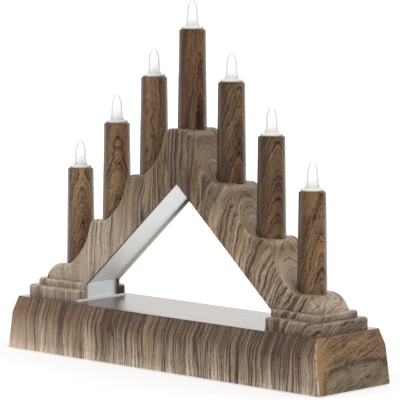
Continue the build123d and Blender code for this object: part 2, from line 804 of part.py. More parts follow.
def make_board_parts():
    """What is soldered on the board: timer chip, capacitor can and a row of resistors."""
    top = board_top_z
    half_x, half_y = chip_length / 2, chip_width / 2
    parts = [block(board_x - half_x, board_x + half_x, -half_y, half_y, top, top + chip_height)]
    parts.append(rod(can_diameter, board_x - chip_length - can_diameter / 2, 0, top, top + can_height))
    row_y = chip_width + resistor_length / 2
    for n in (-1, 0, 1):
        x = board_x + n * resistor_pitch
        parts.append(block(x - resistor_width / 2, x + resistor_width / 2, row_y - resistor_length / 2,
                           row_y + resistor_length / 2, top, top + resistor_height))
    return parts


def make_feed_wire(bus):
    """Wire from the board up through the base and the right foot to the wire in the arch."""
    bus_z = wire_line()[-1][2]
    points = [(feed_x, 0, bus_z), (feed_x, 0, feed_run_z)]
    points += [(feed_board_x, 0, feed_run_z), (feed_board_x, 0, board_top_z)]
    return tube(points, wire_diameter, [wire_bend, thin_wire_bend]) - bus


def make_battery_wires():
    """Thin wires from the cell box to the switch and the board, and from the switch to the board."""
    start_x = box_x1 + box_wall
    y, z = battery_wire_y, thin_wire_z
    last_x = board_x - board_length / 2 + thin_wire_diameter
    side_x = switch_x + switch_length / 2 - thin_wire_diameter
    low_z = (switch_top_z + thin_wire_z) / 2
    routes = [[(start_x, 0, z), (switch_x, 0, z), (switch_x, 0, switch_top_z)],
              [(start_x, y, z), (last_x, y, z), (last_x, y, board_top_z)],
              [(side_x, 0, switch_top_z), (side_x, 0, low_z), (last_x, 0, low_z), (last_x, 0, board_top_z)]]
    reach = [thin_wire_bend, thin_wire_bend, thin_wire_diameter]
    return [tube(route, thin_wire_diameter, bend) for route, bend in zip(routes, reach)]


def pan_screw(x, y, head_z, length, up):
    """A pan-head screw whose head seats at a height, pointing up or down."""
    sizes = (screw_head_diameter, screw_head_height, screw_shank, recess_length, recess_width, recess_depth)
    if up is False:
        sizes = (small_head_diameter, small_head_height, small_shank,
                 small_recess_length, small_recess_width, small_recess_depth)
    head, height, shank, cross, slit, depth = sizes
    screw = Pos(0, 0, -height / 2) * Cylinder(head / 2, height)
    screw = fillet(screw.edges().group_by(Axis.Z)[0], height / 3)
    screw += rod(shank, 0, 0, 0, length)
    for size in ((cross, slit), (slit, cross)):
        screw -= Pos(0, 0, depth / 2 - height) * Box(*size, depth)
    turn = Rot(0, 0, 0) if up else Rot(180, 0, 0)
    return Pos(x, y, head_z) * turn * screw


def make_arch_screws():
    """Screws from inside the base up into the feet of the arch."""
    places = screw_places(arch_screw_x, arch_screw_y)
    return [pan_screw(x, y, ceiling_z, arch_screw_length, True) for x, y in places]


def make_cover_screws():
    """Screws through the bottom plate into the base's posts, with sunk heads."""
    seat = table_gap + head_sink
    places = screw_places(cover_screw_x, cover_screw_y)
    return [pan_screw(x, y, seat, cover_screw_length, True) for x, y in places]


def make_board_screws():
    """Small screws that hold the board on its posts."""
    places = screw_places(board_screw_x, board_screw_y)
    return [pan_screw(board_x + x, y, board_top_z, small_screw_length, False) for x, y in places]


def make_switch_screws():
    """Small screws that hold the switch by its ears."""
    seat = cover_top_z + switch_ear_lift + switch_ear_thickness
    reach = switch_screw_spacing / 2
    return [pan_screw(x, 0, seat, small_screw_length, False) for x in (switch_x - reach, switch_x + reach)]


def make_rubber_feet():
    """Four round pads, sunk into the bottom plate."""
    return [rod(pad_diameter, x, y, 0, table_gap + pad_recess) for x, y in screw_places(pad_x, pad_y)]


def save(node, shape):
    """Writes one sub-part, whether one solid or a group of them."""
    group = shape if isinstance(shape, list) else [shape]
    solids = [solid for item in group for solid in item.solids()]
    export_step(solids[0] if len(solids) == 1 else Compound(children=solids), f"parts/{node}.step")


def main():
    os.makedirs("parts", exist_ok=True)
    bus = make_bus_wire()
    save("arch_shell", make_arch_shell())
    save("arch_liner", make_arch_liner())
    save("base_shell", make_base_shell())
    save("base_cover", make_base_cover())
    save("battery_door", make_battery_door())
    save("bus_wire", bus)
    save("feed_wire", make_feed_wire(bus))
    save("battery_wires", make_battery_wires())
    for number, x, shelf_z in light_places():
        rim_z = shelf_z - seat_sink + candle_length
        save(f"candle_{number}", make_candle(x, shelf_z))
        save(f"bulb_collar_{number}", make_collar(x, rim_z))
        save(f"flame_cap_{number}", make_flame_cap(x, rim_z))
        save(f"led_{number}", make_led(x, rim_z))
        save(f"led_lead_{number}", make_lead(x, rim_z, bus))
    for n in range(cell_count):
        save(f"battery_cell_{n + 1}", make_cell(n))
    save("contact_springs", [make_spring(n) for n in range(cell_count)])
    save("contact_plates", make_contact_plates())
    save("switch_body", make_switch_body())
    save("switch_knob", make_switch_knob())
    save("driver_board", make_driver_board())
    save("board_parts", make_board_parts())
    save("arch_screws", make_arch_screws())
    save("cover_screws", make_cover_screws())
    save("board_screws", make_board_screws())
    save("switch_screws", make_switch_screws())
    save("rubber_feet", make_rubber_feet())


main()
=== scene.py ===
import bmesh
import bpy
import json
import math
from mathutils import Matrix, Vector

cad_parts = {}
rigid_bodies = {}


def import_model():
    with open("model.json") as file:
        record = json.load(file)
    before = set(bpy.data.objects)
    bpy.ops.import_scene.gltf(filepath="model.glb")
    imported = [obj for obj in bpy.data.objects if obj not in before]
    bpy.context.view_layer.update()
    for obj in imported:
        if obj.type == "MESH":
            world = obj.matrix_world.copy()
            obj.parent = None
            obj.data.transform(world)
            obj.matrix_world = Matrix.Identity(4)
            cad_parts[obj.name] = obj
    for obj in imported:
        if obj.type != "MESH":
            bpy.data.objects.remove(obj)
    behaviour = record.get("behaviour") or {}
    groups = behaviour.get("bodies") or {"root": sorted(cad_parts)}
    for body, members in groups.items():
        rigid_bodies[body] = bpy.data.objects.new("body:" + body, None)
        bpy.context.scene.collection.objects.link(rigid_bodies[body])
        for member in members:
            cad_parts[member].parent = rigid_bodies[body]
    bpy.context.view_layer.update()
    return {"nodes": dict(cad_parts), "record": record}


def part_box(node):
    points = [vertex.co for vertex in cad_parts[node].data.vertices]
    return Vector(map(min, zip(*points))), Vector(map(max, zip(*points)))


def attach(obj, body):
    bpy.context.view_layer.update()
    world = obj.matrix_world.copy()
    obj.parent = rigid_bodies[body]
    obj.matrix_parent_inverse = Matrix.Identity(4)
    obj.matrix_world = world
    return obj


for leftover in list(bpy.data.objects):
    bpy.data.objects.remove(leftover)

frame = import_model()
nodes = frame["nodes"]
# looks are given in millimetres, and meshes are in metres
mm = 1000.0
print("frame loaded:", len(nodes), "nodes")


# helpers for shader trees

def feed(tree, socket, value):
    if isinstance(value, bpy.types.NodeSocket):
        tree.links.new(value, socket)
    else:
        socket.default_value = value


def calc(tree, operation, *values):
    node = tree.nodes.new("ShaderNodeMath")
    node.operation = operation
    for socket, value in zip(node.inputs, values):
        feed(tree, socket, value)
    return node.outputs[0]


def join(tree, x, y, z):
    node = tree.nodes.new("ShaderNodeCombineXYZ")
    for socket, value in zip(node.inputs, (x, y, z)):
        feed(tree, socket, value)
    return node.outputs[0]


def noise(tree, spot, scale=1.0, detail=2.0, rough=0.5):
    node = tree.nodes.new("ShaderNodeTexNoise")
    feed(tree, node.inputs["Vector"], spot)
    node.inputs["Scale"].default_value = scale
    node.inputs["Detail"].default_value = detail
    node.inputs["Roughness"].default_value = rough
    return node.outputs[0]


def spread(tree, value, low, high, toLow=0.0, toHigh=1.0):
    node = tree.nodes.new("ShaderNodeMapRange")
    node.interpolation_type = "SMOOTHSTEP"
    for name, item in (("Value", value), ("From Min", low), ("From Max", high),
                       ("To Min", toLow), ("To Max", toHigh)):
        feed(tree, node.inputs[name], item)
    return node.outputs[0]


def tint(tree, share, first, second, blend="MIX"):
    node = tree.nodes.new("ShaderNodeMix")
    node.data_type = "RGBA"
    node.blend_type = blend
    feed(tree, node.inputs[0], share)
    feed(tree, node.inputs[6], first)
    feed(tree, node.inputs[7], second)
    return node.outputs[2]


def rgb(red, green, blue):
    def linear(part):
        part = part / 255
        return part / 12.92 if part <= 0.04045 else ((part + 0.055) / 1.055) ** 2.4
    return (linear(red), linear(green), linear(blue), 1.0)


def newGroup(name, inputs, outputs):
    tree = bpy.data.node_groups.new(name, "ShaderNodeTree")
    for title, kind, value in inputs:
        socket = tree.interface.new_socket(name=title, in_out="INPUT", socket_type="NodeSocket" + kind)
        if value is not None:
            socket.default_value = value
    for title, kind in outputs:
        tree.interface.new_socket(name=title, in_out="OUTPUT", socket_type="NodeSocket" + kind)
    return tree, tree.nodes.new("NodeGroupInput"), tree.nodes.new("NodeGroupOutput")


def useGroup(tree, group, **values):
    node = tree.nodes.new("ShaderNodeGroup")
    node.node_tree = group
    for title, value in values.items():
        feed(tree, node.inputs[title], value)
    return node


def newMaterial(name):
    material = bpy.data.materials.new(name)
    material.use_nodes = True
    tree = material.node_tree
    return material, tree, tree.nodes["Principled BSDF"]


def objectPlace(tree):
    # object coordinates in millimetres
    source = tree.nodes.new("ShaderNodeTexCoord")
    grow = tree.nodes.new("ShaderNodeVectorMath")
    grow.operation = "SCALE"
    grow.inputs["Scale"].default_value = mm
    tree.links.new(source.outputs["Object"], grow.inputs[0])
    split = tree.nodes.new("ShaderNodeSeparateXYZ")
    tree.links.new(grow.outputs[0], split.inputs[0])
    return grow.outputs[0], split.outputs[0], split.outputs[1], split.outputs[2]


# printed wood: one group, fed with a grain coordinate by each piece

# each run of noise: its share, width, length, shift of the seed, detail, and where it starts and is full
printLook = {"slowWide": 11.0, "slowLong": 90.0, "wander": 5.0, "weight": (0.1, 1.0, 0.12, 1.0),
             "early": (0.0, 0.12, 0.6, 0.0), "gapStep": 3.7, "gapLong": 7.0, "gap": (0.42, 0.58, 1.0, 0.0),
             "ringShare": 0.85, "runRough": 0.6, "ground": (17.0, 60.0, 1.9, 1.0, 0.3, 0.7),
             "bands": [(0.34, 6.5, 120.0, 11.2, 2.0, 0.4, 0.62), (0.42, 2.1, 60.0, 7.3, 2.0, 0.43, 0.62),
                       (0.48, 0.8, 30.0, 3.1, 2.0, 0.46, 0.63)],
             "flecks": [(0.25, 0.4, 1.6, 5.7, 1.0, 0.54, 0.68), (0.22, 0.9, 2.6, 8.1, 2.0, 0.48, 0.68)],
             "dashes": (0.52, 0.62), "lineRough": 0.1, "linePress": 0.0002}


def grainSpot(tree, across, along, wide, long, seed):
    # place in a noise that is drawn out along the grain
    return join(tree, calc(tree, "DIVIDE", across, wide), calc(tree, "DIVIDE", along, long), seed)


def makeWoodPrint():
    look = printLook
    tree, source, result = newGroup(
        "woodPrint",
        [("Across", "Float", 0.0), ("Along", "Float", 0.0), ("Ring", "Float", 3.0), ("Depth", "Float", 1.0),
         ("Seed", "Float", 0.0), ("Sharp", "Float", 5.0), ("Bands", "Float", 1.0), ("Breaks", "Float", 0.0),
         ("Pale", "Color", None), ("Mid", "Color", None), ("Dark", "Color", None)],
        [("Color", "Color"), ("Lines", "Float")])
    pin = source.outputs
    across, along, seed = pin["Across"], pin["Along"], pin["Seed"]
    # ring widths wander, so that no two lines are spaced alike
    slow = noise(tree, grainSpot(tree, across, along, look["slowWide"], look["slowLong"], seed), 1.0, 1.0)
    order = calc(tree, "DIVIDE", across, pin["Ring"])
    order = calc(tree, "MULTIPLY_ADD", slow, look["wander"], order)
    step = calc(tree, "FRACT", order)
    count = calc(tree, "FLOOR", order)
    chance = tree.nodes.new("ShaderNodeTexWhiteNoise")
    chance.noise_dimensions = "2D"
    tree.links.new(join(tree, count, seed, 0.0), chance.inputs["Vector"])
    weight = spread(tree, chance.outputs["Value"], *look["weight"])
    late = calc(tree, "MULTIPLY", calc(tree, "POWER", step, pin["Sharp"]), weight)
    early = calc(tree, "MULTIPLY", spread(tree, step, *look["early"]), weight)
    ring = calc(tree, "MAXIMUM", late, early)
    # lines that stop and start again
    row = calc(tree, "MULTIPLY", count, look["gapStep"])
    gap = noise(tree, join(tree, row, calc(tree, "DIVIDE", along, look["gapLong"]), seed), 1.0, 2.0)
    gap = calc(tree, "MULTIPLY", spread(tree, gap, *look["gap"]), pin["Breaks"])
    ring = calc(tree, "MULTIPLY", ring, calc(tree, "SUBTRACT", 1.0, gap))

    def run(wide, long, shift, detail, low, high):
        spot = grainSpot(tree, across, along, wide, long, calc(tree, "ADD", seed, shift))
        return spread(tree, noise(tree, spot, 1.0, detail, look["runRough"]), low, high)

    def addRuns(runs, lines):
        for share, *figures in runs:
            lines = calc(tree, "MULTIPLY_ADD", run(*figures), share, lines)
        return lines

    bands = calc(tree, "MULTIPLY", addRuns(look["bands"], 0.0), pin["Bands"])
    lines = addRuns(look["flecks"], calc(tree, "MULTIPLY_ADD", ring, look["ringShare"], bands))
    lines = calc(tree, "MINIMUM", calc(tree, "MULTIPLY", lines, pin["Depth"]), 1.0)
    ground = tint(tree, run(*look["ground"]), pin["Pale"], pin["Mid"])
    tree.links.new(tint(tree, lines, ground, pin["Dark"]), result.inputs["Color"])
    tree.links.new(lines, result.inputs["Lines"])
    return tree


def makePrintMix():
    # goes from one print to another by a mask
    tree, source, result = newGroup(
        "printMix",
        [("Share", "Float", 0.0), ("First Color", "Color", None), ("Second Color", "Color", None),
         ("First Lines", "Float", 0.0), ("Second Lines", "Float", 0.0)],
        [("Color", "Color"), ("Lines", "Float")])
    pin = source.outputs
    tree.links.new(tint(tree, pin["Share"], pin["First Color"], pin["Second Color"]), result.inputs["Color"])
    both = calc(tree, "SUBTRACT", pin["Second Lines"], pin["First Lines"])
    tree.links.new(calc(tree, "MULTIPLY_ADD", both, pin["Share"], pin["First Lines"]), result.inputs["Lines"])
    return tree


woodPrint = makeWoodPrint()
printMix = makePrintMix()


def meet(tree, share, first, second):
    # second is another print, or one plain colour
    node = useGroup(tree, printMix, Share=share)
    for title, item in (("First", first), ("Second", second)):
        if isinstance(item, tuple):
            node.inputs[title + " Color"].default_value = item
        else:
            tree.links.new(item.outputs["Color"], node.inputs[title + " Color"])
            tree.links.new(item.outputs["Lines"], node.inputs[title + " Lines"])
    return node


def dashes(tree, across, along, wide, long, seed, share):
    # short dark strokes between the lines
    spot = grainSpot(tree, across, along, wide, long, seed)
    return spread(tree, noise(tree, spot, 1.0, 1.0), *printLook["dashes"], 0.0, share)


def facing(tree):
    # the surface's own direction, before any bump
    source = tree.nodes.new("ShaderNodeTexCoord")
    split = tree.nodes.new("ShaderNodeSeparateXYZ")
    tree.links.new(source.outputs["Normal"], split.inputs[0])
    return split.outputs


def lacquer(tree, shader, printNode, gloss, shade=None, pressed=None):
    # print under a satin clear coat, with the lines pressed in a little; a given shade multiplies the print with
    # painted light and shade
    color = printNode.outputs["Color"]
    if shade is not None:
        color = tint(tree, 1.0, color, shade, "MULTIPLY")
    tree.links.new(color, shader.inputs["Base Color"])
    rough = calc(tree, "MULTIPLY_ADD", printNode.outputs["Lines"], printLook["lineRough"], gloss["rough"])
    tree.links.new(rough, shader.inputs["Roughness"])
    bump = tree.nodes.new("ShaderNodeBump")
    bump.inputs["Strength"].default_value = gloss["bump"]
    bump.inputs["Distance"].default_value = printLook["linePress"]
    bump.invert = True
    height = printNode.outputs["Lines"]
    if pressed is not None:
        height = calc(tree, "MULTIPLY", height, pressed)
    tree.links.new(height, bump.inputs["Height"])
    tree.links.new(bump.outputs["Normal"], shader.inputs["Normal"])
    shader.inputs["IOR"].default_value = gloss["ior"]
    feed(tree, shader.inputs["Coat Weight"], gloss["coat"])
    shader.inputs["Coat Roughness"].default_value = gloss["coatRough"]
    shader.inputs["Coat IOR"].default_value = gloss["coatIor"]


# in the looks, a range says where a change starts and ends, and then its values there
archLook = {"pale": rgb(176, 151, 124), "mid": rgb(154, 127, 100), "dark": rgb(66, 46, 30),
            "lowPale": rgb(184, 168, 149), "lowMid": rgb(164, 146, 127), "paleTilt": 0.3,
            "paleRise": (50.0, 105.0, 1.0, 0.0), "sway": 0.045, "flatSway": 9.0, "topSway": 6.0, "footSway": 26.0,
            "ring": 3.8, "depth": 1.0, "leftDepth": 0.7, "depthX": (-60.0, 0.0),
            "lean": 0.04, "leanFrom": 36.0, "leanX": (-30.0, 10.0),
            "slope": 1.1, "window": 116.0, "bend": 0.0035, "rightLean": 0.2, "bendX": (0.0, 35.0, 0.0, -1.0),
            "crown": 12.0, "crownX": (-8.0, 8.0), "halfDepth": 13.3, "deepest": 1.6, "topFine": 1.6,
            "footRing": 2.4, "footSlope": 0.8, "footX": (91.0, 97.0), "acrossTurn": (0.3, 0.75, 1.0, 0.0),
            "bareAndShadeDark": rgb(62, 43, 31), "barePale": rgb(182, 174, 164), "bareBack": (-2.0, 2.0),
            "bareLow": (74.0, 96.0, 1.0, 0.0), "inward": (-4.0, -1.0, 1.0, 0.0), "downward": (-0.35, -0.15, 1.0, 0.0),
            "endX": (72.6, 73.4, 1.0, 0.0), "endLow": (41.0, 42.0, 1.0, 0.0), "endBack": (4.0, 8.0),
            "upward": (0.15, 0.5), "coatUp": (0.45, 0.9, 0.1, 0.8),
            # rise and the shades below are painted light and shade on the print
            "rise": (40.0, 118.0, 1.28, 0.66), "rightShade": (40.0, 110.0, 1.0, 0.68),
            "footShade": (36.0, 48.0, 0.8, 1.0), "topShade": (0.0, 1.0, 1.0, 1.4),
            "acrossShade": (0.0, 1.0, 1.0, 1.08),
            "rough": 0.42, "ior": 1.25, "bump": 0.25, "coatRough": 0.3, "coatIor": 1.5}


def makeArchWood():
    look = dict(archLook)
    material, tree, shader = newMaterial("archWood")
    spot, x, y, z = objectPlace(tree)
    # the print is paler low down, and further up on the left limb
    low = spread(tree, calc(tree, "MULTIPLY_ADD", x, look["paleTilt"], z), *look["paleRise"])
    colors = {"Pale": tint(tree, low, look["pale"], look["lowPale"]),
              "Mid": tint(tree, low, look["mid"], look["lowMid"]), "Dark": look["dark"]}
    toward = facing(tree)
    sway = noise(tree, spot, look["sway"], 2.0)
    # upright streaks that lean a little on the left limb and bend over towards the right limb's outer edge
    outer = calc(tree, "MULTIPLY_ADD", x, look["slope"], calc(tree, "SUBTRACT", z, look["window"]))
    outer = calc(tree, "MAXIMUM", outer, 0.0)
    outer = calc(tree, "MULTIPLY", outer, calc(tree, "MULTIPLY_ADD", outer, look["bend"], look["rightLean"]))
    lean = calc(tree, "MULTIPLY", calc(tree, "SUBTRACT", z, look["leanFrom"]),
                spread(tree, x, *look["leanX"], -look["lean"], 0.0))
    lean = calc(tree, "MULTIPLY_ADD", outer, spread(tree, x, *look["bendX"]), lean)
    flat = calc(tree, "MULTIPLY_ADD", sway, look["flatSway"], calc(tree, "ADD", x, lean))
    front = useGroup(tree, woodPrint, Across=flat, Along=z, Ring=look["ring"], Seed=2.0,
                     Depth=spread(tree, x, *look["depthX"], look["leftDepth"], look["depth"]),
                     Sharp=4.0, Bands=0.9, **colors)
    # over the top they close into narrow arches
    deep = calc(tree, "POWER", calc(tree, "DIVIDE", y, look["halfDepth"]), 2.0)
    deep = calc(tree, "MINIMUM", deep, look["deepest"])
    crown = spread(tree, x, *look["crownX"], look["crown"], -look["crown"])
    bent = calc(tree, "MULTIPLY_ADD", deep, crown, calc(tree, "MULTIPLY_ADD", sway, look["topSway"], flat))
    bent = calc(tree, "MULTIPLY", bent, look["topFine"])
    over = useGroup(tree, woodPrint, Across=bent, Along=y, Ring=look["ring"], Depth=0.85, Seed=4.0,
                    Sharp=4.0, Bands=0.6, Breaks=0.5, **colors)
    # and the feet's outer ends have slanting streaks
    slope = calc(tree, "MULTIPLY_ADD", sway, look["footSway"], z)
    slope = calc(tree, "MULTIPLY_ADD", y, -look["footSlope"], slope)
    foot = useGroup(tree, woodPrint, Across=slope, Along=calc(tree, "ADD", y, z), Ring=look["footRing"], Depth=1.1,
                    Seed=31.0, Sharp=3.5, Bands=0.8, Breaks=0.25, **colors)
    over = meet(tree, spread(tree, calc(tree, "ABSOLUTE", x), *look["footX"]), over, foot)
    across = spread(tree, calc(tree, "ABSOLUTE", toward[1]), *look["acrossTurn"])
    grain = meet(tree, across, front, over)
    # inside the walls, on faces turned down round the window and at the rear feet's inner ends the print gives way to
    # dark brown, partly bare plastic and partly painted shade; low down at the back it turns pale grey
    bare = calc(tree, "MULTIPLY", spread(tree, y, *look["bareBack"]), spread(tree, z, *look["bareLow"]))
    bare = tint(tree, bare, look["bareAndShadeDark"], look["barePale"])
    inside = spread(tree, calc(tree, "MULTIPLY", toward[1], y), *look["inward"])
    under = calc(tree, "MAXIMUM", inside, spread(tree, toward[2], *look["downward"]))
    ends = calc(tree, "MULTIPLY", spread(tree, z, *look["endLow"]), spread(tree, y, *look["endBack"]))
    ends = calc(tree, "MULTIPLY", spread(tree, calc(tree, "ABSOLUTE", x), *look["endX"]), ends)
    grain = meet(tree, under, grain, look["bareAndShadeDark"])
    tree.links.new(bare, grain.inputs["Second Color"])
    grain = meet(tree, ends, grain, look["bareAndShadeDark"])
    # tops take more gloss; painted light and shade make the print lighter low down, on the tops and on slopes turned
    # sideways, and darker towards the apex, on the right side and at the feet
    look["coat"] = spread(tree, toward[2], *look["coatUp"])
    shade = spread(tree, z, *look["rise"])
    for place, name in ((x, "rightShade"), (z, "footShade"), (spread(tree, toward[2], *look["upward"]), "topShade"),
                        (across, "acrossShade")):
        shade = calc(tree, "MULTIPLY", shade, spread(tree, place, *look[name]))
    lacquer(tree, shader, grain, look, join(tree, shade, shade, shade))
    return material


baseLook = {"pale": rgb(170, 150, 129), "mid": rgb(143, 120, 98), "dark": rgb(56, 40, 28),
            "sway": 0.03, "sideSway": 8.0, "topSway": 14.0, "lean": 0.18, "leanFrom": 14.0, "leanGrow": 0.03,
            "ring": 2.7, "depthRise": (14.0, 26.0, 0.95, 1.25), "leftDepth": (-110.0, -30.0, 0.7, 1.0),
            "endPale": rgb(147, 115, 81), "endMid": rgb(133, 102, 69), "endDark": rgb(44, 28, 17),
            "endLow": rgb(128, 109, 85), "endRing": 2.3, "tilt": 0.3, "endWander": (0.1, 6.0),
            "arch": 31.0, "archMiddle": 6.0, "archTop": 15.0, "archPower": 3.0, "archShift": 0.15,
            "archWander": (0.16, 0.3), "archInside": (0.92, 1.02, 1.0, 0.0), "archLine": (0.01, 0.16, 1.0, 0.0),
            "lineBreaks": (0.35, 0.6, 0.25, 0.85), "endDepth": (-28.0, -12.0, 0.25, 1.35),
            "insideDepth": (0.0, 1.0, 1.0, 0.75), "dashWide": 0.8, "dashLong": 8.0, "dashShare": 0.5,
            "dashBack": (-28.0, -12.0, 0.2, 1.0), "endTurn": (0.45, 0.75),
            "wearAndHighlight": rgb(196, 174, 148), "wearAndHighlightTurn": (0.25, 0.5), "wearAndHighlightPatches": (0.35, 0.6, 0.15, 0.6),
            "top": rgb(120, 98, 76), "topMid": rgb(108, 86, 66), "topRing": 3.4, "topTurn": (0.8, 0.97),
            # rise, the left shade and the two tints below are painted light and shade
            "topCoat": (0.0, 1.0, 0.1, 1.0), "rise": (0.0, 31.0, 1.35, 0.56),
            "leftShade": (-100.0, -10.0, 1.06, 0.95),
            "topPaintedShade": (1.12, 0.92, 0.75, 1.0), "topPaintedShadeRise": (13.0, 25.0),
            "lowPaintedLight": (1.34, 1.47, 1.64, 1.0), "lowPaintedLightRise": (0.0, 8.0, 1.0, 0.0), "noPaintedShade": (1, 1, 1, 1),
            "rough": 0.38, "ior": 1.3, "bump": 0.25, "topRough": 0.36, "coatRough": 0.34, "coatIor": 1.4}


def makeBaseWood():
    look = dict(baseLook)
    material, tree, shader = newMaterial("baseWood")
    spot, x, y, z = objectPlace(tree)
    toward = facing(tree)
    sway = noise(tree, spot, look["sway"], 2.0)
    wide = calc(tree, "MULTIPLY_ADD", sway, look["sideSway"], x)
    # the streaks lean over towards the upper edge
    above = calc(tree, "MAXIMUM", calc(tree, "SUBTRACT", z, look["leanFrom"]), 0.0)
    above = calc(tree, "MULTIPLY", calc(tree, "POWER", above, 2.0), look["leanGrow"])
    wide = calc(tree, "MULTIPLY_ADD", above, -look["lean"], wide)
    depth = calc(tree, "MULTIPLY", spread(tree, z, *look["depthRise"]), spread(tree, x, *look["leftDepth"]))
    side = useGroup(tree, woodPrint, Across=wide, Along=z, Ring=look["ring"], Seed=5.0, Depth=depth,
                    Sharp=4.0, Bands=0.9, Pale=look["pale"], Mid=look["mid"], Dark=look["dark"])
    # ends: slanting streaks over one broad dark arch
    slant = calc(tree, "MULTIPLY_ADD", y, -look["tilt"], z)
    scale, reach = look["endWander"]
    slant = calc(tree, "MULTIPLY_ADD", noise(tree, spot, scale, 3.0), reach, slant)
    run = calc(tree, "DIVIDE", calc(tree, "SUBTRACT", y, look["archMiddle"]), look["arch"])
    run = calc(tree, "POWER", calc(tree, "ABSOLUTE", run), look["archPower"])
    rise = calc(tree, "DIVIDE", calc(tree, "MAXIMUM", z, 0.0), look["archTop"])
    rise = calc(tree, "POWER", rise, look["archPower"])
    bow = calc(tree, "POWER", calc(tree, "ADD", run, rise), 1 / look["archPower"])
    scale, reach = look["archWander"]
    bow = calc(tree, "MULTIPLY_ADD", noise(tree, spot, scale, 3.0), reach,
               calc(tree, "SUBTRACT", bow, look["archShift"]))
    inside = spread(tree, bow, *look["archInside"])
    depth = calc(tree, "MULTIPLY", spread(tree, y, *look["endDepth"]), spread(tree, inside, *look["insideDepth"]))
    end = useGroup(tree, woodPrint, Across=slant, Along=y, Ring=look["endRing"], Depth=depth, Seed=9.0,
                   Sharp=4.0, Bands=0.45, Breaks=0.85, Dark=look["endDark"],
                   Mid=tint(tree, inside, look["endMid"], look["endLow"]),
                   Pale=tint(tree, inside, look["endPale"], look["endLow"]))
    line = spread(tree, calc(tree, "ABSOLUTE", calc(tree, "SUBTRACT", bow, 1.0)), *look["archLine"])
    line = calc(tree, "MULTIPLY", line, spread(tree, noise(tree, spot, 0.5, 3.0), *look["lineBreaks"]))
    end = meet(tree, line, end, look["endDark"])
    strokes = dashes(tree, slant, y, look["dashWide"], look["dashLong"], 3.0, look["dashShare"])
    strokes = calc(tree, "MULTIPLY", strokes, spread(tree, y, *look["dashBack"]))
    end = meet(tree, strokes, end, look["endDark"])
    atEnd = spread(tree, calc(tree, "ABSOLUTE", toward[0]), *look["endTurn"])
    grain = meet(tree, atEnd, side, end)
    # the upright corners are lighter in patches: painted highlight and wear
    corner = calc(tree, "MINIMUM", calc(tree, "ABSOLUTE", toward[0]), calc(tree, "ABSOLUTE", toward[1]))
    wearAndHighlight = calc(tree, "MULTIPLY", spread(tree, corner, *look["wearAndHighlightTurn"]),
                spread(tree, noise(tree, spot, 0.4, 2.0), *look["wearAndHighlightPatches"]))
    grain = meet(tree, wearAndHighlight, grain, look["wearAndHighlight"])
    # the flat top has a faint long grain under its gloss
    onTop = spread(tree, toward[2], *look["topTurn"])
    level = calc(tree, "MULTIPLY_ADD", sway, look["topSway"], y)
    top = useGroup(tree, woodPrint, Across=level, Along=x, Ring=look["topRing"], Depth=0.55, Seed=13.0, Sharp=3.0,
                   Bands=0.9, Breaks=0.3, Pale=look["top"], Mid=look["topMid"], Dark=look["dark"])
    grain = meet(tree, onTop, grain, top)
    look["coat"] = spread(tree, onTop, *look["topCoat"])
    look["rough"] = spread(tree, onTop, 0.0, 1.0, look["rough"], look["topRough"])
    # painted shade makes it darker and warmer towards the top, painted light makes it pale and greyer along the
    # bottom, and it is a little lighter on the left
    shade = calc(tree, "MULTIPLY", spread(tree, z, *look["rise"]), spread(tree, x, *look["leftShade"]))
    shade = join(tree, shade, shade, shade)
    shade = tint(tree, spread(tree, z, *look["topPaintedShadeRise"]), shade, look["topPaintedShade"], "MULTIPLY")
    shade = tint(tree, spread(tree, z, *look["lowPaintedLightRise"]), shade, look["lowPaintedLight"], "MULTIPLY")
    # the ends and the top keep their print without this painted light and shade
    shade = tint(tree, calc(tree, "MAXIMUM", atEnd, onTop), shade, look["noPaintedShade"])
    lacquer(tree, shader, grain, look, shade, calc(tree, "SUBTRACT", 1.0, onTop))
    return material


candleLook = {"pale": rgb(135, 108, 80), "mid": rgb(114, 86, 62), "dark": rgb(42, 28, 18), "ring": 1.9,
              "unroll": 8.2, "blunt": 2.5, "wander": (0.11, 6.0),
              # the band down one side, set below, is painted shade
              "shadedSide": -125, "shadedSideWander": (0.07, 1.2), "shadedSideReach": (1.15, 1.8, 0.6, 0.0),
              "dashWide": 0.7, "dashLong": 5.0, "dashShare": 0.22, "edgeCoat": (0.2, 0.7, 0.05, 0.85),
              "rough": 0.4, "ior": 1.25, "bump": 0.25, "coatRough": 0.2, "coatIor": 1.5}
# turn of the figure round the candle, its climb, its seed and its tone; the tone lightens or darkens the whole
# candle, partly the print's own colour and partly painted light and shade
candleFigures = [(-38, 0.28, 23, (1.63, 1.70, 1.70)), (-40, 0.36, 26, (1.76, 1.74, 1.68)),
                 (-78, 0.03, 29, (1.50, 1.51, 1.44)), (-14, 0.10, 32, (0.96, 0.80, 0.64)),
                 (-14, 0.36, 35, (0.90, 0.78, 0.68)), (-22, 0.40, 38, (0.92, 0.82, 0.73)),
                 (-8, 0.34, 41, (1.28, 1.20, 1.06))]


